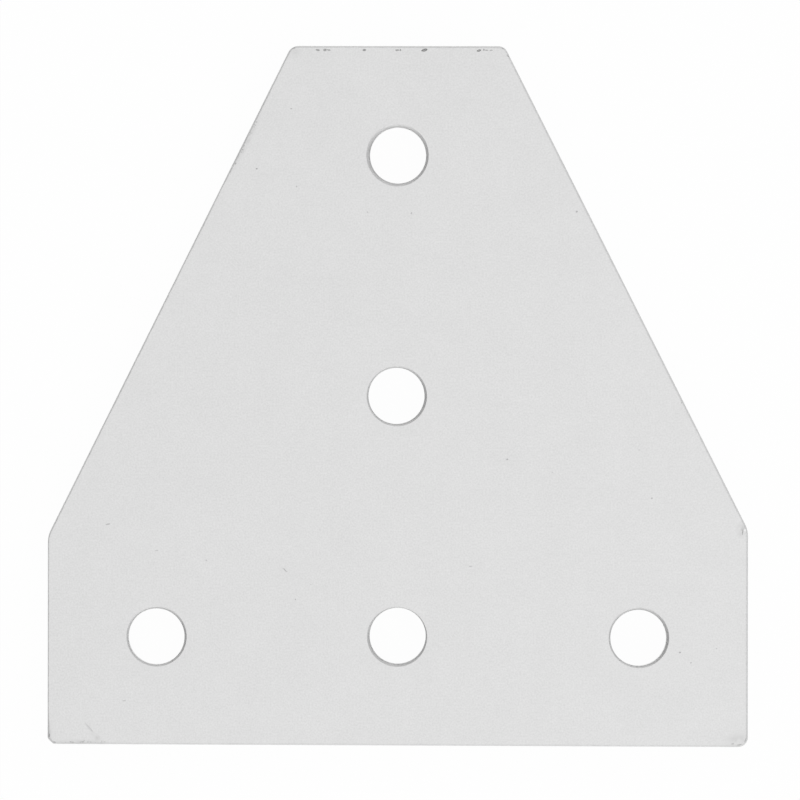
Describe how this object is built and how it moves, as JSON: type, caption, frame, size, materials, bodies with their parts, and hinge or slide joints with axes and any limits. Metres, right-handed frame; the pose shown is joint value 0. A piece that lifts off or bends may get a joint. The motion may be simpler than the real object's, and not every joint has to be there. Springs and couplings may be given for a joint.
{
  "type": "extrusion joining plate",
  "caption": "Flat tee-shaped plate with tapered flanks and round clearance holes, for joining slotted aluminium profiles at a right angle.",
  "frame": {"origin": "centre of the middle hole of the cross row, on the back face", "axes": "+Z out of the front face, +Y up the stem to the narrow end, +X along the cross row"},
  "size_m": [0.0872, 0.0873, 0.005],
  "materials": {
    "blasted_aluminium": "bead-blasted and clear-anodised, even matte grey"
  },
  "bodies": {
    "root": {"joining_plate": "blasted_aluminium"}
  },
  "joints": []
}
